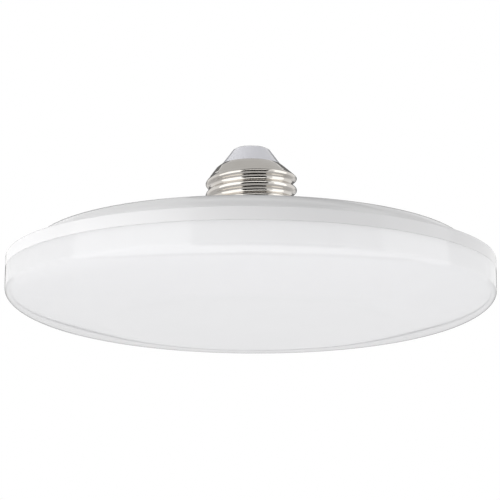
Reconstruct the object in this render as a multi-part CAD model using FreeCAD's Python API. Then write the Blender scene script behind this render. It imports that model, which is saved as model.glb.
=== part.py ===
"""A disc-shaped LED bulb with a screw base, the kind that screws into a ceiling lampholder.

Frame: millimetres, +Z towards the screw base, Z 0 on the flat of the light-giving face,
and the axis of the bulb on X 0, Y 0. The bulb hangs with its face down, as it does in use.
Wide rounds are drawn as a few chords of their curve, which keeps the model light.
"""

import FreeCAD, Part
import math
import os

V = FreeCAD.Vector
AXIS = V(0, 0, 1)
ORIGIN = V(0, 0, 0)

# Outline of the disc
disc_radius = 70.3
face_round_width = 30.0
face_round_height = 8.95
face_round_chords = 5
face_inner_chords = 2
face_lean_ratio = 1.5
seam_height = 14.5
seam_gap = 0.05
rim_height = 3.85
rim_edge = 1.0
plateau_inset = 6.0
plateau_height = 5.5
plateau_round_width = 6.8
plateau_round_chords = 3

# Wall thicknesses
diffuser_wall = 2.0
housing_wall = 1.6
rim_wall = 1.1
shell_wall = 0.35

# Joint between the diffuser and the housing
tongue_height = 1.9
tongue_clearance = 0.15
hook_count = 6
hook_width_deg = 8.0
hook_reach = 0.45
hook_height = 0.9
hook_drop = 0.3
hook_clearance = 0.1

# Neck of the housing, which carries the screw shell
neck_foot_radius = 27.0
collar_radius = 15.4
collar_height = 2.8
seat_clearance = 0.1
boss_gap = 0.2
boss_wall = 1.4
boss_height = 14.9

# Rolled screw shell: 7 threads an inch, as on every medium screw base
skirt_radius = 13.25
skirt_height = 3.6
crest_radius = 13.2
root_radius = 12.15
thread_pitch = 25.4 / 7
thread_blend = 1.8
thread_length = 15.6
thread_fade_length = 2.7
crest_lift = 13.14
sections_per_turn = 5
shell_sides = 24
shoulder_radius = 10.25
shoulder_wall = 0.5
curl_radius = 8.8
curl_height = 1.1
curl_crown_radius = 9.6
curl_crown_height = 0.75
curl_wall = 0.4

# Insulator and centre contact at the tip of the base
insulator_top_radius = 5.2
insulator_height = 5.0
insulator_gap = 0.05
flange_radius = 9.4
flange_thickness = 1.4
contact_radius = 4.0
contact_land_radius = 2.4
contact_edge = 0.25
contact_height = 0.6

# Board that carries the light sources
board_inset = 3.3
board_thickness = 1.6
board_depth = 4.5
board_slot_length = 6.0
board_slot_width = 3.0
chip_length = 3.5
chip_width = 2.8
chip_height = 0.7
chip_inset = 13.0
chip_ring_counts = (5, 9, 14)
chip_first_ratio = 0.29

# Screws that clamp the board to the housing
screw_count = 3
screw_inset = 21.0
screw_first_deg = 45.0
screw_radius = 1.45
screw_hole_radius = 1.75
screw_head_radius = 2.8
screw_head_height = 1.8
screw_length = 6.0
screw_slot_width = 0.7
screw_slot_depth = 0.9
pillar_radius = 3.6
pillar_bore_gap = 0.05
rib_count = 6
rib_thickness = 1.2
rib_inset = 4.3

# Driver board, upright inside the neck
driver_bore_gap = 1.0
driver_height = 22.0
driver_thickness = 1.0
driver_lift = 2.8
rail_width = 1.5
rail_grip = 0.6
rail_embed = 0.7
slot_clearance = 0.1

# Parts on the driver board
input_can_radius = 4.0
input_can_length = 11.5
input_can_lift = 2.6
output_can_radius = 3.15
output_can_length = 6.5
core_side_gap = 1.2
core_depth = 6.2
core_height = 9.0
core_leg = 2.0
winding_proud = 0.4
winding_gap = 0.05
film_side_gap = 1.6
film_depth = 3.6
film_height = 4.6
fuse_radius = 1.5
fuse_length = 7.0
bridge_box = (4.7, 2.4, 4.0)
bridge_drop = 4.0
control_box = (4.9, 1.5, 3.9)
control_lift = 3.9
resistor_box = (1.6, 0.5, 3.1)
resistor_lift = 11.7
resistor_pitch = 2.2
resistor_count = 3
part_gap = 0.1

# Leads and pins
lead_radius = 0.35
lead_lift = 0.05
lead_hold = 2.6
lead_rise = 1.1
lead_tail = 5.0
pin_side = 0.64
pin_pitch = 2.54
pin_drop = 1.6
pin_height = 5.0
socket_box = (5.4, 2.6, 3.2)
socket_gap = 0.05

# Heights and radii that follow from the sizes above
inner_radius = disc_radius - diffuser_wall
face_centre = (disc_radius - face_round_width, face_round_height)
tongue_top = seam_height + tongue_height
rim_inner_radius = disc_radius - rim_wall
tongue_radius = rim_inner_radius - tongue_clearance
rim_top = seam_height + seam_gap + rim_height
plateau_radius = disc_radius - plateau_inset
plateau_top = rim_top + plateau_height
plateau_under = plateau_top - housing_wall
plateau_centre = (plateau_radius - plateau_round_width, rim_top)
collar_top = plateau_top + collar_height
boss_top = collar_top + boss_height
shell_bore = root_radius - shell_wall
boss_radius = shell_bore - boss_gap
boss_bore = boss_radius - boss_wall
board_radius = plateau_radius - board_inset
chip_outer_ring = board_radius - chip_inset
screw_circle = board_radius - screw_inset
rib_inner_radius = (boss_radius + boss_bore) / 2
rib_outer_radius = plateau_radius - rib_inset
skirt_top = collar_top + skirt_height
crest_height = skirt_top + crest_lift
thread_fade_to = skirt_top + thread_length
thread_fade_from = thread_fade_to - thread_fade_length
flat_ratio = math.cos(math.pi / shell_sides)
shell_end = thread_fade_to + curl_height
insulator_top = shell_end + insulator_height
board_top = plateau_under - board_depth
board_bottom = board_top - board_thickness
driver_width = 2 * (boss_bore - driver_bore_gap)
rail_face = driver_width / 2 - rail_grip
core_box = (rail_face - core_side_gap, core_depth, core_height)
film_box = (rail_face - film_side_gap, film_depth, film_height)
driver_front = lead_radius + lead_lift
driver_back = driver_front + driver_thickness
driver_bottom = board_top + driver_lift
driver_top = driver_bottom + driver_height
pin_row = driver_front - pin_side / 2


# Drawing helpers: a point of a half section is (distance from the axis, height)
def chain(points):
    """Straight edges from each point of a half section to the next."""
    corners = [V(r, 0, z) for r, z in points]
    return [Part.LineSegment(a, b).toShape() for a, b in zip(corners[:-1], corners[1:])]


def revolve(points, degrees=360):
    """The solid that a half section, closed by its first point, sweeps about the axis."""
    wire = Part.Wire(chain(points + points[:1]))
    return Part.Face(wire).revolve(ORIGIN, AXIS, degrees)


def round_off(centre, width, height, chords, lean=1.0):
    """Points of a quarter ellipse, from its side to its tip.

    A lean over 1 draws the points together near the side, where a flat ellipse turns fastest.
    """
    points = []
    for i in range(chords + 1):
        angle = math.pi / 2 * (i / chords) ** lean
        points.append((centre[0] + width * math.cos(angle), centre[1] + height * math.sin(angle)))
    return points


def stack(points):
    """A turned solid: straight walls from each circle (radius, height) to the next."""
    circles = [Part.Wire(Part.Circle(V(0, 0, z), AXIS, r).toShape()) for r, z in points]
    return Part.makeLoft(circles, True, True)


def rod(radius, bottom, top, x=0.0, y=0.0):
    """An upright round rod."""
    return Part.makeCylinder(radius, top - bottom, V(x, y, bottom))


def block(x, y, z):
    """A box from (low, high) on each axis."""
    size = [high - low for low, high in (x, y, z)]
    return Part.makeBox(size[0], size[1], size[2], V(x[0], y[0], z[0]))


def around(shape, count, first_deg=0.0):
    """Copies of a shape, evenly spaced about the axis."""
    copies = []
    for i in range(count):
        copy = shape.copy()
        copy.rotate(ORIGIN, AXIS, first_deg + 360.0 * i / count)
        copies.append(copy)
    return copies


def smooth(t):
    """Rises from 0 to 1 with level ends."""
    t = min(1.0, max(0.0, t))
    return t * t * (3 - 2 * t)


def bent_wire(points, radius):
    """A round wire through the points, with sharp bends."""
    start = Part.Circle(points[0], points[1] - points[0], radius).toShape()
    right_corner = 1
    return Part.makePolygon(points).makePipeShell([Part.Wire(start)], True, False, right_corner)


# Diffuser: one moulding of opal plastic
def hook():
    """A catch on the tongue, its lower side square and its upper side sloped to slide in."""
    top = tongue_top - hook_drop
    tip = tongue_radius + hook_reach
    root = tongue_radius - hook_reach
    return revolve([
        (root, top - hook_height),
        (tip, top - hook_height),
        (tip, top - hook_height / 2),
        (tongue_radius, top),
        (root, top),
    ], hook_width_deg)


def diffuser():
    """A shallow bowl with a flat face, a rounded edge and a tongue that enters the rim."""
    outer = round_off(face_centre, face_round_width, -face_round_height, face_round_chords, face_lean_ratio)
    inner = round_off(
        face_centre,
        face_round_width - diffuser_wall,
        diffuser_wall - face_round_height,
        face_inner_chords,
        face_lean_ratio,
    )
    bowl = stack(outer[::-1] + [(disc_radius, seam_height)])
    tongue = rod(tongue_radius, seam_height, tongue_top)
    hollow = stack(inner[::-1] + [(inner_radius, tongue_top)])
    return bowl.fuse([tongue] + around(hook(), hook_count)).cut(hollow).removeSplitter()


# Housing: one moulding with the rim, the raised back, the neck and what holds the inner parts
def housing_body():
    """The revolved body of the housing."""
    rim_bottom = seam_height + seam_gap
    rim_under = rim_top - housing_wall
    seat_radius = skirt_radius - shell_wall - seat_clearance
    rim_edge_points = [(disc_radius, rim_top - rim_edge), (disc_radius - rim_edge / 2, rim_top)]
    shoulder = round_off(plateau_centre, plateau_round_width, plateau_height, plateau_round_chords)
    return revolve([(disc_radius, rim_bottom)] + rim_edge_points + shoulder + [
        (neck_foot_radius, plateau_top),
        (collar_radius, collar_top),
        (seat_radius, collar_top),
        (seat_radius, skirt_top),
        (boss_radius, skirt_top),
        (boss_radius, boss_top),
        (boss_bore, boss_top),
        (boss_bore, plateau_under),
        (plateau_centre[0], plateau_under),
        (plateau_radius - housing_wall, rim_under),
        (rim_inner_radius, rim_under),
        (rim_inner_radius, rim_bottom),
    ])


def hook_pocket():
    """The recess that a hook snaps into."""
    top = tongue_top - hook_drop + hook_clearance
    bottom = top - hook_height - 2 * hook_clearance
    tip = tongue_radius + hook_reach + hook_clearance
    margin = math.degrees(hook_clearance / tip)
    pocket = revolve(
        [(inner_radius, bottom), (tip, bottom), (tip, top), (inner_radius, top)],
        hook_width_deg + 2 * margin,
    )
    pocket.rotate(ORIGIN, AXIS, -margin)
    return pocket


def stiffening_rib():
    """A radial rib under the raised back, down to the board."""
    return block(
        (rib_inner_radius, rib_outer_radius),
        (-rib_thickness / 2, rib_thickness / 2),
        (board_top, plateau_under + housing_wall / 2),
    )


def board_rails():
    """Two posts inside the neck, with the slots that the driver board slides into."""
    middle = (driver_front + driver_back) / 2
    reach = driver_thickness / 2 + rail_width
    rail = block(
        (rail_face, boss_bore + rail_embed),
        (middle - reach, middle + reach),
        (plateau_under, boss_top),
    )
    half_width = driver_width / 2 + slot_clearance
    slot = block(
        (-half_width, half_width),
        (driver_front - slot_clearance, driver_back + slot_clearance),
        (plateau_under, boss_top),
    )
    return [rail.cut(slot), rail.mirror(ORIGIN, V(1, 0, 0)).cut(slot)]


def back_housing():
    """The housing with its ribs, screw pillars, board rails and the groove for the lead."""
    ribs = around(stiffening_rib(), rib_count)
    pillar = rod(pillar_radius, board_top, plateau_under + housing_wall / 2, screw_circle)
    pillars = around(pillar, screw_count, screw_first_deg)
    body = housing_body().fuse(ribs + pillars + board_rails())
    bore_radius = screw_radius + pillar_bore_gap
    bore = rod(bore_radius, board_top, board_bottom + screw_length + part_gap, screw_circle)
    groove = block(
        (neutral_x() - lead_radius - part_gap, boss_radius + part_gap),
        (-lead_radius - part_gap, lead_radius + part_gap),
        (boss_top - lead_tail - part_gap, boss_top + part_gap),
    )
    bores = around(bore, screw_count, screw_first_deg)
    pockets = around(hook_pocket(), hook_count)
    return body.cut(bores + pockets + [groove]).removeSplitter()


# Rolled screw shell
def shell_round(radius, height, offset=0.0):
    """A level round of the shell, with flats that keep the model light.

    With an offset it is set off the axis, towards the crest of the thread at its height.
    The crest goes once round the axis in each pitch, anticlockwise as it rises, which makes
    a right-hand round thread. It is at +X where the height is crest_height.
    """
    angle = 2 * math.pi * (height - crest_height) / thread_pitch
    centre = V(offset * math.cos(angle), offset * math.sin(angle), height)
    corners = []
    for i in range(shell_sides + 1):
        turn = 2 * math.pi * i / shell_sides
        corners.append(centre + V(radius * math.cos(turn), radius * math.sin(turn), 0))
    return Part.makePolygon(corners)


def thread_section(height):
    """A level cut of the threaded stretch, blended into the skirt below and the end above."""
    mean = (crest_radius + root_radius) / 2
    rise = smooth((height - skirt_top) / thread_blend)
    fall = smooth((height - thread_fade_from) / (thread_fade_to - thread_fade_from))
    radius = skirt_radius + (mean - skirt_radius) * rise + (shoulder_radius - mean) * fall
    offset = (crest_radius - root_radius) / 2 * rise * (1 - fall)
    return shell_round(radius, height, offset)


def screw_shell():
    """Plain skirt, rolled round thread and an end turned in over the insulator."""
    length = thread_fade_to - skirt_top
    count = round(length / thread_pitch * sections_per_turn)
    rounds = [thread_section(skirt_top + length * i / count) for i in range(count + 1)]
    rounds.append(shell_round(curl_crown_radius, thread_fade_to + curl_crown_height))
    rounds.append(shell_round(curl_radius, shell_end))
    hollow_rounds = [
        shell_round(shell_bore, skirt_top),
        shell_round(shell_bore, thread_fade_from),
        shell_round(shoulder_radius - shoulder_wall, thread_fade_to),
        shell_round(curl_radius, shell_end - curl_wall),
        shell_round(curl_radius, shell_end),
    ]
    skirt = rod(skirt_radius, collar_top, skirt_top)
    skirt_hollow = rod(skirt_radius - shell_wall, collar_top, skirt_top)
    thread = Part.makeLoft(rounds, True, True)
    hollow = Part.makeLoft(hollow_rounds, True, True)
    return skirt.fuse(thread).cut([skirt_hollow, hollow])


# Tip of the base
def curl_underside(radius):
    """Height of the underside of the turned-in end, at the middle of a flat."""
    inner = shoulder_radius - shoulder_wall
    top = shell_end - curl_wall
    return top - (top - thread_fade_to) * (radius / flat_ratio - curl_radius) / (inner - curl_radius)


def base_insulator():
    """White insulator, held by its flange under the turned-in end, with a hole for the lead."""
    neck = curl_radius * flat_ratio - insulator_gap
    flange_top = curl_underside(flange_radius) - insulator_gap
    flange = rod(flange_radius, flange_top - flange_thickness, flange_top)
    cone = stack([
        (neck, flange_top),
        (neck, shell_end),
        (insulator_top_radius, insulator_top),
    ])
    hole = rod(lead_radius + insulator_gap, flange_top - flange_thickness, insulator_top)
    return cone.fuse(flange).cut(hole)


def centre_contact():
    """Low domed contact with a flat land, on the tip of the insulator."""
    return stack([
        (contact_radius, insulator_top),
        (contact_radius, insulator_top + contact_edge),
        (contact_land_radius, insulator_top + contact_height),
    ])


# Board and light sources
def led_board():
    """Round aluminium-core board, with a slot for the driver's pins."""
    board = rod(board_radius, board_bottom, board_top)
    slot = block(
        (-board_slot_length / 2, board_slot_length / 2),
        (pin_row - board_slot_width / 2, pin_row + board_slot_width / 2),
        (board_bottom, board_top),
    )
    hole = rod(screw_hole_radius, board_bottom, board_top, screw_circle)
    return board.cut(around(hole, screw_count, screw_first_deg) + [slot])


def led_chip():
    """One light source under the board."""
    return block(
        (-chip_width / 2, chip_width / 2),
        (-chip_length / 2, chip_length / 2),
        (board_bottom - chip_height, board_bottom),
    )


def led_chips():
    """The light sources, in rings."""
    chips = []
    first_ring = chip_outer_ring * chip_first_ratio
    for i, count in enumerate(chip_ring_counts):
        step = (chip_outer_ring - first_ring) / (len(chip_ring_counts) - 1)
        chip = led_chip()
        chip.translate(V(first_ring + step * i, 0, 0))
        chips += around(chip, count)
    return Part.makeCompound(chips)


def board_screws():
    """Screws with their heads under the board, each with a straight slot."""
    low = board_bottom - screw_head_height
    head = rod(screw_head_radius, low, board_bottom)
    shank = rod(screw_radius, board_bottom, board_bottom + screw_length)
    slot = block(
        (-screw_head_radius, screw_head_radius),
        (-screw_slot_width / 2, screw_slot_width / 2),
        (low, low + screw_slot_depth),
    )
    screw = head.fuse(shank).cut(slot)
    screw.translate(V(screw_circle, 0, 0))
    return Part.makeCompound(around(screw, screw_count, screw_first_deg))


# Driver: an upright board in the neck, with its tall parts on the front and flat ones behind
def driver_board():
    """The driver's circuit board."""
    return block(
        (-driver_width / 2, driver_width / 2),
        (driver_front, driver_back),
        (driver_bottom, driver_top),
    )


def pin_places():
    """X of the two pins that lead down to the light board."""
    return [-pin_pitch / 2, pin_pitch / 2]


def output_pins():
    """Two square pins on the driver board that plug into the socket on the light board."""
    half = pin_side / 2
    return Part.makeCompound([block(
        (x - half, x + half),
        (pin_row - half, pin_row + half),
        (board_bottom - pin_drop, driver_bottom + pin_height),
    ) for x in pin_places()])


def pin_socket():
    """Socket under the light board, with a well for each pin."""
    length, width, height = socket_box
    body = block(
        (-length / 2, length / 2),
        (pin_row - width / 2, pin_row + width / 2),
        (board_bottom - height, board_bottom),
    )
    reach = pin_side / 2 + socket_gap
    return body.cut([block(
        (x - reach, x + reach),
        (pin_row - reach, pin_row + reach),
        (board_bottom - pin_drop - socket_gap, board_bottom),
    ) for x in pin_places()])


def input_capacitor():
    """The large capacitor, lying along the board on its left."""
    reach = input_can_radius + part_gap
    low = driver_bottom + input_can_lift
    return rod(input_can_radius, low, low + input_can_length, -reach, driver_front - reach)


def output_capacitor():
    """The small capacitor, standing on the board near its top left."""
    reach = output_can_radius + part_gap
    foot = V(-reach - lead_radius, driver_front, driver_top - reach)
    return Part.makeCylinder(output_can_radius, output_can_length, foot, V(0, -1, 0))


def core_bottom():
    """Height of the foot of the transformer."""
    return driver_bottom + pin_height + part_gap


def transformer_core():
    """Ferrite core: a closed frame round two windows, with a leg between them."""
    width, depth, height = core_box
    left = part_gap
    front = driver_front - depth
    low = core_bottom()
    leg = core_leg / 2
    middle = left + width / 2
    frame = block((left, left + width), (front, driver_front), (low, low + height))
    windows = [block(x, (front, driver_front), (low + leg, low + height - leg)) for x in (
        (left + leg, middle - leg),
        (middle + leg, left + width - leg),
    )]
    return frame.cut(windows)


def transformer_winding():
    """The taped winding on the core's middle leg."""
    width, depth, height = core_box
    middle = part_gap + width / 2
    half_width = width / 2 - core_leg / 2 - winding_gap
    low = core_bottom() + core_leg / 2 + winding_gap
    high = core_bottom() + height - core_leg / 2 - winding_gap
    front = driver_front - depth
    sides = (middle - half_width, middle + half_width)
    coil = block(sides, (front - winding_proud, driver_front), (low, high))
    reach = core_leg / 2 + winding_gap
    leg = block((middle - reach, middle + reach), (front - winding_gap, driver_front), (low, high))
    return coil.cut(leg)


def film_capacitor():
    """Box-shaped film capacitor above the transformer."""
    width, depth, height = film_box
    low = core_bottom() + core_box[2] + part_gap
    left = lead_radius + part_gap
    return block((left, left + width), (driver_front - depth, driver_front), (low, low + height))


def fuse_resistor():
    """Fusible resistor across the top of the board."""
    reach = fuse_radius + part_gap
    end = V(lead_radius + part_gap, driver_front - reach, driver_top - reach)
    return Part.makeCylinder(fuse_radius, fuse_length, end, V(1, 0, 0))


def back_part(box, x, z):
    """A flat part on the back of the driver board, centred at x with its foot at z."""
    width, depth, height = box
    return block(
        (x - width / 2, x + width / 2),
        (driver_back, driver_back + depth),
        (z, z + height),
    )


def bridge_rectifier():
    """Four-diode bridge on the back of the driver board."""
    return back_part(bridge_box, -bridge_box[0], driver_top - bridge_drop - bridge_box[2])


def control_chip():
    """The driver's control chip, on the back of the board."""
    return back_part(control_box, 0, driver_bottom + control_lift)


def chip_resistors():
    """Small resistors on the back of the board, in a row."""
    row = driver_bottom + resistor_lift
    return Part.makeCompound([
        back_part(resistor_box, resistor_pitch * (i + 1), row) for i in range(resistor_count)
    ])


# Leads between the driver and the base
def live_lead():
    """Straight up from the board, through the insulator to the centre contact."""
    return rod(lead_radius, driver_top - lead_hold, insulator_top)


def neutral_x():
    """Where the lead lies in its groove, just clear of the shell."""
    return shell_bore - lead_radius - part_gap / 2


def neutral_lead():
    """From the board up over the boss, then down its groove, inside the shell."""
    x = fuse_length + 3 * lead_radius + 2 * part_gap
    over = boss_top + lead_rise
    return bent_wire([
        V(x, 0, driver_top - lead_hold),
        V(x, 0, over),
        V(neutral_x(), 0, over),
        V(neutral_x(), 0, boss_top - lead_tail),
    ], lead_radius)


PARTS = {
    "diffuser": diffuser,
    "back_housing": back_housing,
    "led_board": led_board,
    "led_chips": led_chips,
    "board_screws": board_screws,
    "pin_socket": pin_socket,
    "output_pins": output_pins,
    "driver_board": driver_board,
    "input_capacitor": input_capacitor,
    "output_capacitor": output_capacitor,
    "transformer_core": transformer_core,
    "transformer_winding": transformer_winding,
    "film_capacitor": film_capacitor,
    "fuse_resistor": fuse_resistor,
    "bridge_rectifier": bridge_rectifier,
    "control_chip": control_chip,
    "chip_resistors": chip_resistors,
    "live_lead": live_lead,
    "neutral_lead": neutral_lead,
    "screw_shell": screw_shell,
    "base_insulator": base_insulator,
    "centre_contact": centre_contact,
}

os.makedirs("parts", exist_ok=True)
for name, build in PARTS.items():
    shape = build()
    box = shape.BoundBox
    print(
        name, "solids", len(shape.Solids), "valid", shape.isValid(), "faces", len(shape.Faces),
        "volume", round(shape.Volume, 1), "z", round(box.ZMin, 2), round(box.ZMax, 2),
    )
    shape.exportStep("parts/" + name + ".step")
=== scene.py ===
# %% [markdown]
# # A disc-shaped LED bulb, finished for its portrait
#
# The bulb hangs face down, with its screw base up, the way it would hang from a ceiling lampholder.
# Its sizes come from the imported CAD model. This lesson makes the surfaces that are seen: the opal
# cover, the white housing and the rolled metal base, each with the finish of the real material.

# %% Load the CAD model
import math

import bmesh
import bpy
from mathutils import Euler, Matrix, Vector


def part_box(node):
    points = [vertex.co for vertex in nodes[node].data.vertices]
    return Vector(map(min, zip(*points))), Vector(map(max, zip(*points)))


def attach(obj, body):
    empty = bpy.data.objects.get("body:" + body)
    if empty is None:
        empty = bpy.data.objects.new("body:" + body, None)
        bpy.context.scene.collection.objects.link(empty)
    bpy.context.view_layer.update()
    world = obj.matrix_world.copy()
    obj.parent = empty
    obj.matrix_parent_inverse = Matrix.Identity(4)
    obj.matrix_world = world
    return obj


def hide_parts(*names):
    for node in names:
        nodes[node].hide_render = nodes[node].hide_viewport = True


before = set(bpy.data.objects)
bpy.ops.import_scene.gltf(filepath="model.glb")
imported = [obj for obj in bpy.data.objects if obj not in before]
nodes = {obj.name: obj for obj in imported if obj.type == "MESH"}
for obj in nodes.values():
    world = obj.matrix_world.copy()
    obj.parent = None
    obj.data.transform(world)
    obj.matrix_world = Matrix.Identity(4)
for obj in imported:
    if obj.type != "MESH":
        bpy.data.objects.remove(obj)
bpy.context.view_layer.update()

# %% [markdown]
# Blender counts in metres, and a bulb is drawn in millimetres. So sizes and places on the bulb are
# written in millimetres, and the ones that the CAD model settles are read from the boxes of its pieces.

# %% Millimetres
MM = 0.001


def box_mm(node):
    """The low and the high corner of a CAD piece's box, in mm."""
    return [[round(v / MM, 3) for v in corner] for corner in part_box(node)]


print("the cover's box in mm:", box_mm("diffuser"))

# %% [markdown]
# ## Drawing tools
#
# Almost everything on this bulb was made round its axis: the plastic was moulded in turned steel
# moulds and the metal was drawn and rolled. So a piece starts as a half section, a closed line of
# points (distance from the axis, height) in millimetres, which is swept round the axis.
#
# No moulded or rolled edge is sharp. `half_section` rounds each corner by its own small radius, and
# that small round is what catches the light along an edge.

# %% Half sections
def half_section(corners, steps=5):
    """Rounds the corners of a closed outline: each corner is (radius, height, rounding) in mm."""
    points = []
    for i, (r, z, rounding) in enumerate(corners):
        here = Vector((r, z))
        if rounding == 0:
            points.append((r, z))
            continue
        before = (Vector(corners[i - 1][:2]) - here).normalized()
        after = (Vector(corners[(i + 1) % len(corners)][:2]) - here).normalized()
        half = before.angle(after) / 2
        centre = here + (before + after).normalized() * rounding / math.sin(half)
        start = here + before * rounding / math.tan(half) - centre
        turn = start.angle_signed(here + after * rounding / math.tan(half) - centre)
        for k in range(steps + 1):
            angle = math.atan2(start.y, start.x) - turn * k / steps
            points.append((centre.x + rounding * math.cos(angle), centre.y + rounding * math.sin(angle)))
    return points


def quarter(centre, width, height, steps, lean=1.5):
    """Corners along a quarter ellipse from its side to its tip, closer together near the side."""
    corners = []
    for i in range(steps + 1):
        angle = math.pi / 2 * (i / steps) ** lean
        corners.append((centre[0] + width * math.cos(angle), centre[1] + height * math.sin(angle), 0))
    return corners


# %% [markdown]
# A swept outline becomes a mesh of four-sided faces. An outline that starts and ends on the axis
# closes there in a fan of triangles. Shading is smooth except over corners of more than 40 degrees,
# so a flat meets a wall in a crisp line and a round stays a round.

# %% From points to a mesh
SMOOTH_BELOW = math.radians(40)


def shade(mesh):
    """Smooth shading with crisp lines on the sharper corners."""
    mesh.shade_smooth()
    mesh.set_sharp_from_angle(angle=SMOOTH_BELOW)


def piece(name, build):
    """A mesh object filled in by build(bm)."""
    bm = bmesh.new()
    build(bm)
    bmesh.ops.recalc_face_normals(bm, faces=bm.faces)
    mesh = bpy.data.meshes.new(name)
    bm.to_mesh(mesh)
    bm.free()
    shade(mesh)
    thing = bpy.data.objects.new(name, mesh)
    bpy.context.scene.collection.objects.link(thing)
    return thing


def point_at(bm, radius, height, turn):
    """A new point at a distance from the axis and a height in mm, and at an angle round the axis."""
    return bm.verts.new((radius * MM * math.cos(turn), radius * MM * math.sin(turn), height * MM))


def join_rings(bm, here, there):
    """Faces between two closed rows of points, down to triangles where a row is one single point."""
    for k in range(len(here)):
        n = (k + 1) % len(here)
        corners = list(dict.fromkeys((here[k], here[n], there[n], there[k])))
        if len(corners) > 2:
            bm.faces.new(corners)


# %% Turned pieces
def sweep(bm, points, steps):
    """Adds a closed outline, swept round the axis."""
    turns = [2 * math.pi * k / steps for k in range(steps)]
    rings = []
    for r, z in points:
        if r == 0:
            rings.append([point_at(bm, 0, z, 0)] * steps)
        else:
            rings.append([point_at(bm, r, z, turn) for turn in turns])
    for lower, upper in zip(rings, rings[1:] + rings[:1]):
        join_rings(bm, lower, upper)


def turned(name, corners, steps=256):
    """A piece turned from an outline with rounded corners."""
    made = piece(name, lambda bm: sweep(bm, half_section(corners), steps))
    print(name, "has", len(made.data.polygons), "faces")
    return made


# %% [markdown]
# ## The opal cover
#
# The cover is one shallow bowl of opal polycarbonate. Its face is flat in the middle, then turns up
# in a flat quarter ellipse to a straight side wall. A thin tongue on its rim enters the housing.
#
# Polycarbonate of this kind is injected into a polished mould, which leaves one even wall. So the
# inside is the same quarter ellipse, smaller by the wall.

# %% Cover
DISC = box_mm("diffuser")[1][0]
TONGUE_TOP = box_mm("diffuser")[1][2]
SEAM = 14.5
COVER_WALL = 2.0
ROUND_WIDTH = 30.0
ROUND_HEIGHT = 8.95
TONGUE_INSIDE = 68.3
TONGUE_OUTSIDE = 69.05

round_centre = (DISC - ROUND_WIDTH, ROUND_HEIGHT)
outside = quarter(round_centre, ROUND_WIDTH, -ROUND_HEIGHT, steps=44)
inside = quarter(round_centre, ROUND_WIDTH - COVER_WALL, COVER_WALL - ROUND_HEIGHT, steps=24)
cover = turned("opal_cover", [
    (0, 0, 0),
    *outside[::-1],
    (DISC, SEAM, 0.04),
    (TONGUE_OUTSIDE, SEAM, 0.1),
    (TONGUE_OUTSIDE, TONGUE_TOP, 0.2),
    (TONGUE_INSIDE, TONGUE_TOP, 0.2),
    *inside,
    (0, COVER_WALL, 0),
])

# %% [markdown]
# ## The housing
#
# The housing is white moulded plastic. Its rim band meets the cover at a fine seam. Behind the rim
# the back steps in and rises through a rounded shoulder to a flat. In the middle a low neck ends in
# a collar, where the skirt of the screw shell stands, and a boss goes on up inside the shell.

# %% Housing
SEAM_GAP = 0.02
RIM_TOP = 18.4
RIM_INSIDE = 69.2
BEVEL_WIDTH = 0.3
BEVEL_HEIGHT = 0.45
SHOULDER = 64.3
SHOULDER_ROUND = 6.8
BACK = 23.9
HOUSING_WALL = 1.6
UNDER = BACK - HOUSING_WALL
NECK_FOOT = 27.0
COLLAR = 15.4
COLLAR_TOP = box_mm("screw_shell")[0][2]
SEAT = 12.8
SKIRT_TOP = 30.3
BOSS = 11.6
BOSS_BORE = 10.2
BOSS_TOP = box_mm("back_housing")[1][2]

flat_edge = SHOULDER - SHOULDER_ROUND
housing = turned("white_housing", [
    (DISC, SEAM + SEAM_GAP, 0.03),
    (DISC, RIM_TOP - BEVEL_HEIGHT, 0.3),
    (DISC - BEVEL_WIDTH, RIM_TOP, 0.15),
    *quarter((flat_edge, RIM_TOP), SHOULDER_ROUND, BACK - RIM_TOP, steps=18, lean=1.0),
    (NECK_FOOT, BACK, 6.0),
    (COLLAR, COLLAR_TOP, 0.5),
    (SEAT, COLLAR_TOP, 0.1),
    (SEAT, SKIRT_TOP, 0.1),
    (BOSS, SKIRT_TOP, 0.1),
    (BOSS, BOSS_TOP, 0.2),
    (BOSS_BORE, BOSS_TOP, 0.2),
    (BOSS_BORE, UNDER, 0.3),
    (flat_edge, UNDER, 1.0),
    (SHOULDER - HOUSING_WALL, RIM_TOP - HOUSING_WALL, 0.3),
    (RIM_INSIDE, RIM_TOP - HOUSING_WALL, 0.2),
    (RIM_INSIDE, SEAM + SEAM_GAP, 0.1),
])

# %% [markdown]
# ## What the mouldings carry inside
#
# Ribs under the back keep the thin wall from bending. Three hollow pillars take the screws of the
# light board, two grooved posts in the neck hold the driver board upright, and six hooks on the
# cover's tongue snap into pockets in the rim. Nothing of this is seen from outside, but without it
# the bulb would fall apart.
#
# Each shape is drawn as a closed solid: an outline that is drawn up, or an outline that is swept
# through a part of a turn.

# %% Solids from outlines
def close_stack(bm, rings):
    """Faces between the rings of a stack, and over its two ends."""
    bm.faces.new(rings[0][::-1])
    bm.faces.new(rings[-1])
    for here, there in zip(rings, rings[1:]):
        join_rings(bm, here, there)


def prism(bm, outline, low, high):
    """Adds a closed outline of (x, y) points in mm, drawn up from one height to another."""
    close_stack(bm, [
        [bm.verts.new((x * MM, y * MM, z * MM)) for x, y in outline] for z in (low, high)
    ])


def part_turn(bm, outline, start, width, steps=8):
    """Adds an outline of (radius, height) points in mm, swept through a part of a turn in degrees."""
    turns = [math.radians(start + width * k / steps) for k in range(steps + 1)]
    close_stack(bm, [[point_at(bm, r, z, turn) for r, z in outline] for turn in turns])


# %% Places round the axis
def around(count, first=0.0):
    """Evenly spaced angles in degrees."""
    return [first + 360 * k / count for k in range(count)]


def turned_point(x, y, angle):
    """A point turned round the axis by an angle in degrees."""
    c, s = math.cos(math.radians(angle)), math.sin(math.radians(angle))
    return (c * x - s * y, s * x + c * y)


def circle(x, y, radius, sides=48):
    """Points of a circle."""
    return [
        (x + radius * math.cos(2 * math.pi * k / sides), y + radius * math.sin(2 * math.pi * k / sides))
        for k in range(sides)
    ]


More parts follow.
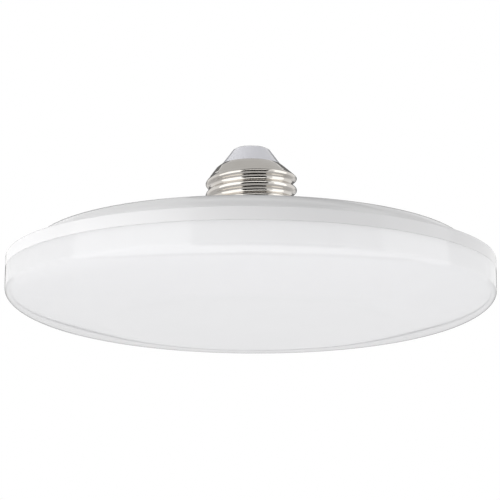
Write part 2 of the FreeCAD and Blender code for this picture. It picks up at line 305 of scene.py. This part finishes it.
# %% [markdown]
# A Boolean modifier joins the solids to the moulding or cuts them away, which leaves one clean skin,
# as in a part that comes out of one mould. Solids that only touched the wall could leave a gap or a
# double skin. So the ones that are joined start inside it.

# %% Join or cut
def boolean(thing, operation, *builds):
    """Joins the solids that the builds fill in to a piece, or cuts them from it."""
    tool = piece("tool", lambda bm: [build(bm) for build in builds])
    step = thing.modifiers.new("step", "BOOLEAN")
    step.operation = operation
    step.object = tool
    step.solver = "EXACT"
    made = bpy.data.meshes.new_from_object(thing.evaluated_get(bpy.context.evaluated_depsgraph_get()))
    thing.modifiers.clear()
    thing.data = made
    made.name = thing.name
    shade(made)
    bpy.data.objects.remove(tool)
    print(thing.name, operation.lower(), "gives", len(made.polygons), "faces")


# %% [markdown]
# Six ribs run out from the boss like spokes. The pillars stand between them. Both end on the light
# board, which the screws pull up against them.

# %% Ribs and pillars
BOARD_TOP = box_mm("led_board")[1][2]
EMBED = UNDER + HOUSING_WALL / 2
RIB_START = 10.8
RIB_END = 60.0
RIB_SIDE = 0.6
PILLAR = 3.6
SCREW_CIRCLE = 40.0
SCREW_ANGLES = around(3, 45)


def ribs(bm):
    """The spokes between the light board and the back."""
    outline = ((RIB_START, -RIB_SIDE), (RIB_END, -RIB_SIDE), (RIB_END, RIB_SIDE), (RIB_START, RIB_SIDE))
    for angle in around(6):
        prism(bm, [turned_point(x, y, angle) for x, y in outline], BOARD_TOP, EMBED)


def pillars(bm):
    """A round pillar over each screw."""
    for angle in SCREW_ANGLES:
        prism(bm, circle(*turned_point(SCREW_CIRCLE, 0, angle), PILLAR), BOARD_TOP, EMBED)


# %% [markdown]
# The driver board slides into two grooved posts, one on each side of the neck's bore. Each groove is
# wider and deeper than the board's edge by a small gap.

# %% Rails for the driver board
DRIVER_LOW, DRIVER_HIGH = box_mm("driver_board")
SLOT_GAP = 0.1
RAIL_GRIP = 0.6
RAIL_CHEEK = 1.5
RAIL_ROOT = 10.85
RAIL_INSET = 0.05


def rails(bm):
    """The two grooved posts, from the outline of the right one and its mirror image."""
    low, high = DRIVER_LOW[1] - RAIL_CHEEK, DRIVER_HIGH[1] + RAIL_CHEEK
    slot_low, slot_high = DRIVER_LOW[1] - SLOT_GAP, DRIVER_HIGH[1] + SLOT_GAP
    face, slot = DRIVER_HIGH[0] - RAIL_GRIP, DRIVER_HIGH[0] + SLOT_GAP
    outline = (
        (face, low), (RAIL_ROOT, low), (RAIL_ROOT, high), (face, high),
        (face, slot_high), (slot, slot_high), (slot, slot_low), (face, slot_low),
    )
    for side in (1, -1):
        prism(bm, [(side * x, y) for x, y in outline], UNDER + RAIL_INSET, BOSS_TOP - RAIL_INSET)


boolean(housing, "UNION", ribs, pillars, rails)

# %% [markdown]
# The screws go up into the pillars' holes. The pockets in the rim are a little longer than the hooks
# that snap into them. A short groove in the boss holds the lead that touches the shell.

# %% Screw holes, hook pockets and the groove for a lead
SCREW_HOLE = 1.5
SCREW_HOLE_TOP = 22.25
POCKET = ((68.3, 15.1), (69.6, 15.1), (69.6, 16.2), (68.3, 16.2))
POCKET_MARGIN = math.degrees(0.1 / 69.6)
HOOK_TURN = 8.0
LEAD_GROOVE = ((10.95, -0.45), (11.75, -0.45), (11.75, 0.45), (10.95, 0.45))
LEAD_DEPTH = 5.1


def screw_holes(bm):
    """A blind hole in each pillar."""
    for angle in SCREW_ANGLES:
        prism(bm, circle(*turned_point(SCREW_CIRCLE, 0, angle), SCREW_HOLE), BOARD_TOP - 1, SCREW_HOLE_TOP)


def hook_pockets(bm):
    """A pocket in the rim for each hook."""
    for angle in around(6, -POCKET_MARGIN):
        part_turn(bm, POCKET, angle, HOOK_TURN + 2 * POCKET_MARGIN)


def lead_groove(bm):
    """The groove down the outside of the boss."""
    prism(bm, LEAD_GROOVE, BOSS_TOP - LEAD_DEPTH, BOSS_TOP + 0.1)


boolean(housing, "DIFFERENCE", screw_holes, hook_pockets, lead_groove)

# %% [markdown]
# A hook has a slanted top, so that it slides in as the cover is pushed up, and a square underside, so
# that it holds.

# %% Hooks on the cover's tongue
HOOK = ((68.6, 15.2), (69.5, 15.2), (69.5, 15.65), (69.05, 16.1), (68.6, 16.1))


def hooks(bm):
    """Six short hooks round the tongue."""
    for angle in around(6):
        part_turn(bm, HOOK, angle, HOOK_TURN)


boolean(cover, "UNION", hooks)

# %% [markdown]
# ## The screw shell
#
# The shell is thin nickel-plated brass, drawn into a cup and rolled between two ribbed rollers. So
# the thread is a wave in the sheet itself: the groove outside is a ridge inside. A medium base has
# seven turns an inch.
#
# A rolled thread is round in both its crests and its grooves, so the wave is made of equal arcs. A
# sine would look sharper. The crest goes once round for each pitch that it climbs, which makes a
# right-hand thread.

# %% The thread's wave
PITCH = 25.4 / 7
MEAN = 12.7
WAVE = 0.54
CREST_HEIGHT = 43.32


def round_wave(phase):
    """A wave of two equal arcs: 1 on a crest, -1 in a groove."""
    end = 2 * math.atan(WAVE / (PITCH / 4))
    quarters = abs((phase / (math.pi / 2) + 2) % 4 - 2)
    along = min(quarters, 2 - quarters) * math.sin(end)
    rise = (math.sqrt(1 - along * along) - math.cos(end)) / (1 - math.cos(end))
    return rise if quarters <= 1 else -rise


print("pitch in mm:", round(PITCH, 3), "and over the crests:", round(2 * (MEAN + WAVE), 2))

# %% [markdown]
# The wave fades in above the plain skirt and runs out on the shoulder, a cone whose end is turned in
# over the insulator. At each level the sheet is at the smaller of two radii, the wave's and the
# cone's. The cone opens wider on one side, the right, where the last crest ends.

# %% The shell's outline
SKIRT = box_mm("screw_shell")[1][0]
FADE_IN = 1.8
CONE_SLOPE = 0.935
CONE_LEAN = 0.226
LIP = [(10.25, 45.9), (9.9, 46.2), (9.5, 46.52), (9.15, 46.78), (8.95, 46.92), (8.8, 47.0)]


def ease(t):
    """Rises from 0 to 1 with level ends."""
    t = min(1.0, max(0.0, t))
    return t * t * (3 - 2 * t)


def smaller(a, b, blend=0.25):
    """The smaller of two radii, with a rounded corner where they cross."""
    share = min(1.0, max(0.0, 0.5 + (b - a) / (2 * blend)))
    return b + (a - b) * share - blend * share * (1 - share)


def shell_line(turn, skirt_rows=4, rows=128):
    """The shell's outside at one angle round the axis, as (radius, height) points."""
    skirt_height = SKIRT_TOP - COLLAR_TOP
    line = [Vector((SKIRT, COLLAR_TOP + skirt_height * i / skirt_rows)) for i in range(skirt_rows)]
    lip_radius, lip_height = LIP[0]
    slope = CONE_SLOPE + CONE_LEAN * math.cos(turn)
    for i in range(rows):
        z = SKIRT_TOP + (lip_height - SKIRT_TOP) * i / rows
        wave = MEAN + WAVE * round_wave(turn - 2 * math.pi * (z - CREST_HEIGHT) / PITCH)
        rolled = SKIRT + (wave - SKIRT) * ease((z - SKIRT_TOP) / FADE_IN)
        line.append(Vector((smaller(rolled, lip_radius + slope * (lip_height - z)), z)))
    return line + [Vector(point) for point in LIP]


# %% Screw shell
SHELL_WALL = 0.35


def rolled_sheet(bm, steps=192):
    """The sheet: its outside, and its inside at one wall's thickness from it."""
    loops = []
    for k in range(steps):
        turn = 2 * math.pi * k / steps
        line = shell_line(turn)
        lining = []
        for i, point in enumerate(line):
            along = (line[min(i + 1, len(line) - 1)] - line[max(i - 1, 0)]).normalized()
            lining.append(point + Vector((-along.y, along.x)) * SHELL_WALL)
        loops.append([point_at(bm, p.x, p.y, turn) for p in line + lining[::-1]])
    for here, there in zip(loops, loops[1:] + loops[:1]):
        join_rings(bm, here, there)


shell = piece("rolled_shell", rolled_sheet)
print("rolled_shell has", len(shell.data.polygons), "faces")

# %% [markdown]
# ## The tip of the base
#
# A moulded insulator sits in the turned-in end of the shell, held by a flange below it. A lead comes
# up through a hole in its middle to the centre contact, a small disc of tinned brass with a low dome
# of solder.

# %% Insulator and contact
FLANGE = box_mm("base_insulator")[1][0]
FLANGE_BOTTOM = 44.65
LEAD_HOLE = 0.4
TIP = box_mm("base_insulator")[1][2]
CONTACT = box_mm("centre_contact")[1][0]
CONTACT_TOP = box_mm("centre_contact")[1][2]

insulator = turned("tip_insulator", [
    (LEAD_HOLE, FLANGE_BOTTOM, 0),
    (FLANGE, FLANGE_BOTTOM, 0.2),
    (FLANGE, 46.0, 0.2),
    (8.7, 46.05, 0),
    (8.72, 47.05, 0.3),
    (5.35, 51.6, 0.6),
    (4.6, TIP, 0.5),
    (LEAD_HOLE, TIP, 0),
], steps=128)
contact = turned("solder_contact", [
    (0, TIP, 0),
    (CONTACT, TIP, 0),
    (CONTACT, 52.2, 0.08),
    (3.2, 52.3, 0.5),
    (2.2, 52.58, 0.6),
    (0, CONTACT_TOP, 0),
], steps=96)

# %% [markdown]
# Each new piece stands for its CAD node, which is hidden, and moves with the bulb. The table also
# lists the finish that each piece takes, which is not used here.

# %% Tie the pieces to the CAD model
for made, node, finish in (
    (cover, "diffuser", "opal_diffuser"),
    (housing, "back_housing", "white_housing"),
    (shell, "screw_shell", "nickel_shell"),
    (insulator, "base_insulator", "white_insulator"),
    (contact, "centre_contact", "contact_tin"),
):
    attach(made, "root")
    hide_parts(node)
    print(made.name, "stands for", node)

# %% [markdown]
# ## Finishes
#
# A finish is a colour that drifts a little, a roughness that varies a little, and a fine relief.
# `finish` builds all three from noise in the piece's own millimetres, so the grain has its real size.

# %% A recipe for finishes
NOISE_LOW = 0.3
NOISE_HIGH = 0.7


def finish(name, colour, other, roughness, grain_mm, relief_mm, drift_mm=20.0, **shader):
    """A material whose colour drifts between two tones, with a fine relief."""
    material = bpy.data.materials.new(name)
    material.use_nodes = True
    tree = material.node_tree
    surface = tree.nodes["Principled BSDF"]
    place = tree.nodes.new("ShaderNodeTexCoord")

    def noise(size_mm, detail):
        cloud = tree.nodes.new("ShaderNodeTexNoise")
        cloud.inputs["Scale"].default_value = 1 / (size_mm * MM)
        cloud.inputs["Detail"].default_value = detail
        tree.links.new(place.outputs["Object"], cloud.inputs["Vector"])
        return cloud.outputs["Fac"]

    def spread(value, low, high):
        span = tree.nodes.new("ShaderNodeMapRange")
        span.inputs["From Min"].default_value = NOISE_LOW
        span.inputs["From Max"].default_value = NOISE_HIGH
        span.inputs["To Min"].default_value = low
        span.inputs["To Max"].default_value = high
        tree.links.new(value, span.inputs["Value"])
        return span.outputs["Result"]

    tone = tree.nodes.new("ShaderNodeMix")
    tone.data_type = "RGBA"
    tone.inputs["A"].default_value = (*colour, 1)
    tone.inputs["B"].default_value = (*other, 1)
    tree.links.new(spread(noise(drift_mm, 3), 0, 1), tone.inputs["Factor"])
    tree.links.new(tone.outputs["Result"], surface.inputs["Base Color"])
    tree.links.new(spread(noise(drift_mm / 3, 4), *roughness), surface.inputs["Roughness"])
    bump = tree.nodes.new("ShaderNodeBump")
    bump.inputs["Distance"].default_value = relief_mm * MM
    bump.inputs["Strength"].default_value = 0.5
    tree.links.new(noise(grain_mm, 2), bump.inputs["Height"])
    tree.links.new(bump.outputs["Normal"], surface.inputs["Normal"])
    for socket, value in shader.items():
        surface.inputs[socket.replace("_", " ")].default_value = value
    return material


def paint(thing, material):
    """Gives the whole piece one finish."""
    thing.data.materials.clear()
    thing.data.materials.append(material)


# %% [markdown]
# The cover is glossy, and light goes a little way into it, which softens its shadows: that is the
# subsurface part. The housing is a little less glossy and lets no light in. The insulator is smooth
# and pale grey, under a clear coat.

# %% Plastic finishes
opal = finish(
    "opal_diffuser", (0.915, 0.915, 0.925), (0.905, 0.905, 0.915), (0.05, 0.08), 0.5, 0.0006, IOR=1.58,
    Subsurface_Weight=0.3, Subsurface_Scale=0.004, Subsurface_Radius=(1.0, 1.0, 1.0),
)
white = finish(
    "white_housing", (0.708, 0.706, 0.71), (0.698, 0.696, 0.7), (0.14, 0.2), 0.5, 0.001, IOR=1.5,
)
pale = finish(
    "white_insulator", (0.66, 0.66, 0.70), (0.63, 0.63, 0.67), (0.08, 0.12), 0.3, 0.002,
    Coat_Weight=1.0, Coat_IOR=1.6, Coat_Roughness=0.06,
)
for thing, material in ((cover, opal), (housing, white), (insulator, pale)):
    paint(thing, material)
    print(thing.name, "is painted", material.name)

# %% [markdown]
# The shell's plating is warm, bright metal, smooth from the rollers. The contact is tinned by
# dipping, which leaves it duller and greyer.

# %% Metal finishes
nickel = finish(
    "nickel_shell", (0.66, 0.635, 0.60), (0.62, 0.59, 0.55), (0.07, 0.11), 0.15, 0.002, 5.0, Metallic=1.0,
)
tin = finish(
    "contact_tin", (0.60, 0.59, 0.57), (0.48, 0.47, 0.45), (0.28, 0.42), 0.3, 0.02, 2.0, Metallic=1.0,
)
for thing, material in ((shell, nickel), (contact, tin)):
    paint(thing, material)
    print(thing.name, "is painted", material.name)

# %% [markdown]
# Inside, the board, the light sources and the driver have plain workshop materials, so that the
# bulb can be opened in another scene and still look right. First come the board and what is on it:
# white solder mask, yellow phosphor, steel screws and a nylon socket for the driver's pins.

# %% Finishes round the light board
mask = finish("board_white", (0.78, 0.79, 0.78), (0.74, 0.75, 0.74), (0.4, 0.5), 0.4, 0.006)
phosphor = finish("led_phosphor", (0.80, 0.62, 0.08), (0.72, 0.54, 0.06), (0.3, 0.4), 0.2, 0.01, 2.0)
steel = finish(
    "screw_steel", (0.45, 0.46, 0.48), (0.38, 0.39, 0.40), (0.25, 0.4), 0.2, 0.01, 3.0, Metallic=1.0,
)
nylon = finish("socket_plastic", (0.68, 0.64, 0.52), (0.64, 0.60, 0.48), (0.4, 0.5), 0.4, 0.01, 3.0)
for name, material in (
    ("led_board", mask), ("led_chips", phosphor), ("board_screws", steel), ("pin_socket", nylon),
):
    paint(nodes[name], material)
    print(name, "is painted", material.name)

# %% [markdown]
# The driver is a green laminate board with sleeved and dipped capacitors, a taped transformer, a
# lacquered resistor and black moulded chips. Its pins and leads are tinned wire.

# %% Finishes of the driver
laminate = finish("driver_laminate", (0.03, 0.14, 0.04), (0.04, 0.18, 0.05), (0.35, 0.5), 0.5, 0.02, 4.0)
sleeve = finish("capacitor_sleeve", (0.012, 0.014, 0.03), (0.02, 0.022, 0.04), (0.2, 0.3), 0.4, 0.01, 4.0)
ferrite = finish("ferrite", (0.025, 0.025, 0.028), (0.04, 0.04, 0.043), (0.55, 0.7), 0.15, 0.03, 2.0)
tape = finish("winding_tape", (0.60, 0.40, 0.03), (0.55, 0.36, 0.03), (0.3, 0.4), 0.5, 0.02, 3.0)
dipped = finish("film_capacitor_red", (0.25, 0.03, 0.015), (0.3, 0.04, 0.02), (0.3, 0.4), 0.6, 0.03, 3.0)
resistor = finish("resistor_body", (0.18, 0.34, 0.38), (0.2, 0.38, 0.42), (0.35, 0.5), 0.4, 0.01, 3.0)
epoxy = finish("black_epoxy", (0.008, 0.008, 0.009), (0.014, 0.014, 0.015), (0.4, 0.55), 0.15, 0.02, 2.0)
wire = finish(
    "tinned_wire", (0.60, 0.58, 0.56), (0.50, 0.48, 0.46), (0.2, 0.35), 0.2, 0.006, 3.0, Metallic=1.0,
)
for name, material in (
    ("driver_board", laminate), ("input_capacitor", sleeve), ("output_capacitor", sleeve),
    ("transformer_core", ferrite), ("transformer_winding", tape), ("film_capacitor", dipped),
    ("fuse_resistor", resistor), ("bridge_rectifier", epoxy), ("control_chip", epoxy),
    ("chip_resistors", epoxy), ("output_pins", wire), ("live_lead", wire), ("neutral_lead", wire),
):
    paint(nodes[name], material)
    print(name, "is painted", material.name)

# %% [markdown]
# ## Studio
#
# The bulb hangs free over a white floor. Glossy plastic and metal are seen by what they mirror, so
# the studio is built twice: soft lamps that light the bulb, and screens that only show in it.
#
# A screen is a flat card: a square of one metre, scaled to its size, set in place and turned to the
# point that it faces.

# %% Cards
def flat(name, width, height, place, facing):
    """A flat card of the studio, its face turned to a point."""
    card = piece(name, lambda bm: bmesh.ops.create_grid(bm, x_segments=1, y_segments=1, size=0.5))
    card.scale = (width, height, 1)
    card.location = place
    card.rotation_euler = (Vector(place) - Vector(facing)).to_track_quat("-Z", "Y").to_euler()
    return card


def beside(azimuth, distance, height):
    """A point at an angle from the camera's side, positive to the right."""
    turn = math.radians(azimuth)
    return (distance * math.sin(turn), -distance * math.cos(turn), height)


# %% [markdown]
# The lamps alone would leave a studio's cloth grey. So the cloth glows, but only for rays that look at
# it: straight from the camera, by way of a mirror or through glass. Rays that gather light for the
# bulb meet plain cloth, so the glow doesn't light the bulb.

# %% Cloth that glows where it is looked at
def looked_at(tree):
    """A value that is 1 for rays that look at a thing, and 0 for rays that gather its light."""
    path = tree.nodes.new("ShaderNodeLightPath")
    seen = path.outputs["Is Camera Ray"]
    for ray in ("Is Glossy Ray", "Is Transmission Ray"):
        either = tree.nodes.new("ShaderNodeMath")
        either.operation = "MAXIMUM"
        tree.links.new(seen, either.inputs[0])
        tree.links.new(path.outputs[ray], either.inputs[1])
        seen = either.outputs[0]
    return seen


def blend(tree, amount, first, second):
    """Mixes two shaders by an amount, and gives the mix to the surface."""
    mix = tree.nodes.new("ShaderNodeMixShader")
    tree.links.new(amount, mix.inputs["Fac"])
    tree.links.new(first, mix.inputs[1])
    tree.links.new(second, mix.inputs[2])
    tree.links.new(mix.outputs[0], tree.nodes["Material Output"].inputs["Surface"])


def glowing(name, level, share=1.0):
    """Cloth that glows at a level of white, mixed with what light it really gets."""
    material = finish(name, (0.82, 0.82, 0.83), (0.80, 0.80, 0.81), (0.8, 0.9), 3.0, 0.1, 200.0)
    tree = material.node_tree
    glow = tree.nodes.new("ShaderNodeEmission")
    glow.inputs["Color"].default_value = (level, level, level, 1)
    amount = tree.nodes.new("ShaderNodeMath")
    amount.operation = "MULTIPLY"
    amount.inputs[1].default_value = share
    tree.links.new(looked_at(tree), amount.inputs[0])
    blend(tree, amount.outputs[0], tree.nodes["Principled BSDF"].outputs[0], glow.outputs[0])
    return material


# %% [markdown]
# The floor lies well below the bulb, out of the portrait, and the flat face mirrors it. Seen from
# below the floor is clear, so that the light-giving face can be looked at too.

# %% Floor
FLOOR_LEVEL = 0.87
FLOOR_SHARE = 0.9

floor = flat("floor", 9, 8.75, (0, 0.375, -0.6), (0, 0.375, 1))
cloth = glowing("floor", FLOOR_LEVEL, FLOOR_SHARE)
paint(floor, cloth)
tree = cloth.node_tree
above = tree.nodes["Material Output"].inputs["Surface"].links[0].from_socket
side = tree.nodes.new("ShaderNodeNewGeometry")
clear = tree.nodes.new("ShaderNodeBsdfTransparent")
blend(tree, side.outputs["Backfacing"], above, clear.outputs[0])
print("floor at", round(floor.location.z, 3), "m")

# %% [markdown]
# A screen is a card that shows only in a gloss. In a photographer's studio it would be a white or a
# black board that is held just out of the picture.
#
# Two tall white screens stand beside the bulb and give the bright bands on its left and right.

# %% Screens beside the bulb
def screen(name, width, height, place, level, facing=None):
    """A card that no camera sees and that lights nothing: it shows only in a reflection.

    It stands upright and faces the bulb's middle plane, unless it gets a point to face.
    """
    x, y, z = place
    card = flat(name, width, height, place, facing or (x, 0, z))
    card.visible_camera = False
    card.visible_diffuse = False
    card.visible_shadow = False
    paint(card, glowing(name, level))
    print(name, "glows at", level)


SIDE_HEIGHT = 0.45
for name, width, azimuth, level in (("left_screen", 1.15, -56, 1.75), ("right_screen", 0.72, 80, 1.7)):
    screen(name, width, 2.0, beside(azimuth, 1.0, SIDE_HEIGHT), level, (0, 0, SIDE_HEIGHT))

# %% [markdown]
# The room in front of the bulb is dark, and its ceiling there too. Two lighter strips before it, one
# low and one high, lift what the front walls and the thread mirror of it.

# %% Screens in front of the bulb
ROOM_X = 0.18

screen("dark_room", 1.25, 2.0, (ROOM_X, -0.95, 0.42), 0.0)
screen("dark_top", 1.25, 0.8, (ROOM_X, -0.55, 1.3), 0.0, facing=(ROOM_X, -0.55, 0))
screen("front_strip", 1.25, 0.55, (ROOM_X, -0.93, 0.175), 0.8)
screen("high_strip", 1.25, 0.7, (ROOM_X, -0.93, 0.8), 1.9)

# %% [markdown]
# Above hangs a grey ceiling. Below lies a bright table, which the cover's rounded edge mirrors, and
# the table's dark edge, which ends that brightness in a soft line.

# %% Screens above and below
screen("ceiling", 5.0, 5.0, (0, 0, 2.4), 0.66, facing=(0, 0, 0))
screen("bright_table", 2.6, 1.3, (0, -0.78, -0.59), 1.4, facing=(0, -0.78, 0))
screen("table_edge", 1.8, 0.11, (0, -0.075, -0.59), 0.0, facing=(0, -0.075, 0))

# %% [markdown]
# Where the bulb's walls curve away at the sides, they mirror what is far behind it. There stand three
# long bands, a dark one at the floor and grey ones above, and two tall dark flags, which draw the
# sides of the bulb against the white.

# %% Screens far behind
FAR = 4.74
FLAG_PLACE = 2.4

for name, height, z, level in (
    ("far_edge", 0.09, -0.56, 0.1),
    ("far_grey", 0.7, -0.18, 0.74),
    ("far_band", 0.6, 0.46, 0.5),
):
    screen(name, 8.0, height, (0, FAR, z), level)
for name, width, x in (("left_flag", 0.45, -0.5), ("right_flag", 0.4, 0.48)):
    screen(name, width, 1.7, (x, FLAG_PLACE, 1.1), 0.15)

# %% [markdown]
# A bright thread needs dark lines, or it looks like chalk. Three small flags stand so near the base
# that in the portrait only the base mirrors them: a black one in front, which each groove and crest
# shows as a dark line, and a dark grey one behind on each side, which darkens its edges.

# %% Flags near the base
screen("base_flag_front", 0.059, 0.033, (0.0115, -0.05, 0.0455), 0.0)
for name, x in (("base_flag_left", -0.027), ("base_flag_right", 0.027)):
    screen(name, 0.042, 0.06, (x, 0.06, 0.072), 0.2)

# %% [markdown]
# The lamps are soft boxes: large even rectangles, close by, with soft shadows. They don't show in the
# gloss, as the screens do that. A rectangle that should look as bright as white, 1, sends out pi watts
# for each square metre.

# %% Lamps
def softbox(name, place, facing, width, height, glow):
    """A rectangular light of an even glow, where 1 is as bright as white."""
    lamp = bpy.data.lights.new(name, "AREA")
    lamp.shape = "RECTANGLE"
    lamp.size = width
    lamp.size_y = height
    lamp.energy = glow * math.pi * width * height
    holder = bpy.data.objects.new(name, lamp)
    holder.location = place
    holder.rotation_euler = (Vector(place) - Vector(facing)).to_track_quat("Z", "Y").to_euler()
    holder.visible_glossy = False
    bpy.context.scene.collection.objects.link(holder)
    print(name, "gives", round(lamp.energy, 2), "W")
    return holder


softbox("left_softbox", beside(-60, 1.0, 0.3), (0, 0, 0), 1.0, 1.0, 0.7)
softbox("right_softbox", beside(85, 1.0, 0.3), (0, 0, 0), 0.6, 1.0, 0.56)
softbox("table_light", (0, -0.5, -0.58), (0, -0.5, 0), 1.2, 0.9, 0.7)

# %% [markdown]
# The last two lamps are low rim lights for the back half of the bulb only: a strong one on the left
# and a weak one behind it on the right. They leave out the cover, which is translucent and spreads
# its own light.

# %% Rim lights
RIM_LIGHT_SIZE = 0.8

lit = bpy.data.collections.new("lit_by_rim_lights")
for thing in (housing, shell, insulator):
    lit.objects.link(thing)
for name, azimuth, glow in (("left_rim_light", -82, 2.5), ("right_rim_light", 125, 1.4)):
    place = beside(azimuth, 1.0, -0.2)
    rim_light = softbox(name, place, (0, 0, 0), RIM_LIGHT_SIZE, RIM_LIGHT_SIZE, glow)
    rim_light.light_linking.receiver_collection = lit

# %% [markdown]
# The world is white where it is looked at, and lights the bulb from all round at a lower level.

# %% World
WORLD_LEVEL = 0.77

world = bpy.data.worlds.new("studio")
bpy.context.scene.world = world
world.use_nodes = True
tree = world.node_tree
background = tree.nodes["Background"]
background.inputs["Color"].default_value = (1, 1, 1, 1)
level = tree.nodes.new("ShaderNodeMapRange")
level.inputs["To Min"].default_value = WORLD_LEVEL
level.inputs["To Max"].default_value = 1.0
tree.links.new(looked_at(tree), level.inputs["Value"])
tree.links.new(level.outputs["Result"], background.inputs["Strength"])
print("the world lights the bulb at", WORLD_LEVEL, "of white")

# %% [markdown]
# ## Camera
#
# The camera stands a little below the disc and looks up at it through a long lens, which keeps the
# disc's near and far edge almost equally large. Its place, its tilt, its small roll and its smaller
# turn to the side were fitted to the outline of the bulb in the picture. The Standard view shows the
# colours as they are lit.

# %% Camera
LENS = 156.3
PLACE = (0.0, -0.6116, -0.1131)
TILT = 12.456
ROLL = -0.315
SIDE_TURN = -0.045

camera = bpy.data.objects.new("camera", bpy.data.cameras.new("camera"))
camera.data.lens = LENS
camera.data.clip_start = 0.05
camera.location = PLACE
camera.rotation_euler = Euler([math.radians(angle) for angle in (90 + TILT, ROLL, SIDE_TURN)], "XYZ")
bpy.context.scene.collection.objects.link(camera)
bpy.context.scene.camera = camera
bpy.context.scene.view_settings.view_transform = "Standard"
print("camera at", PLACE, "with a lens of", LENS, "mm")
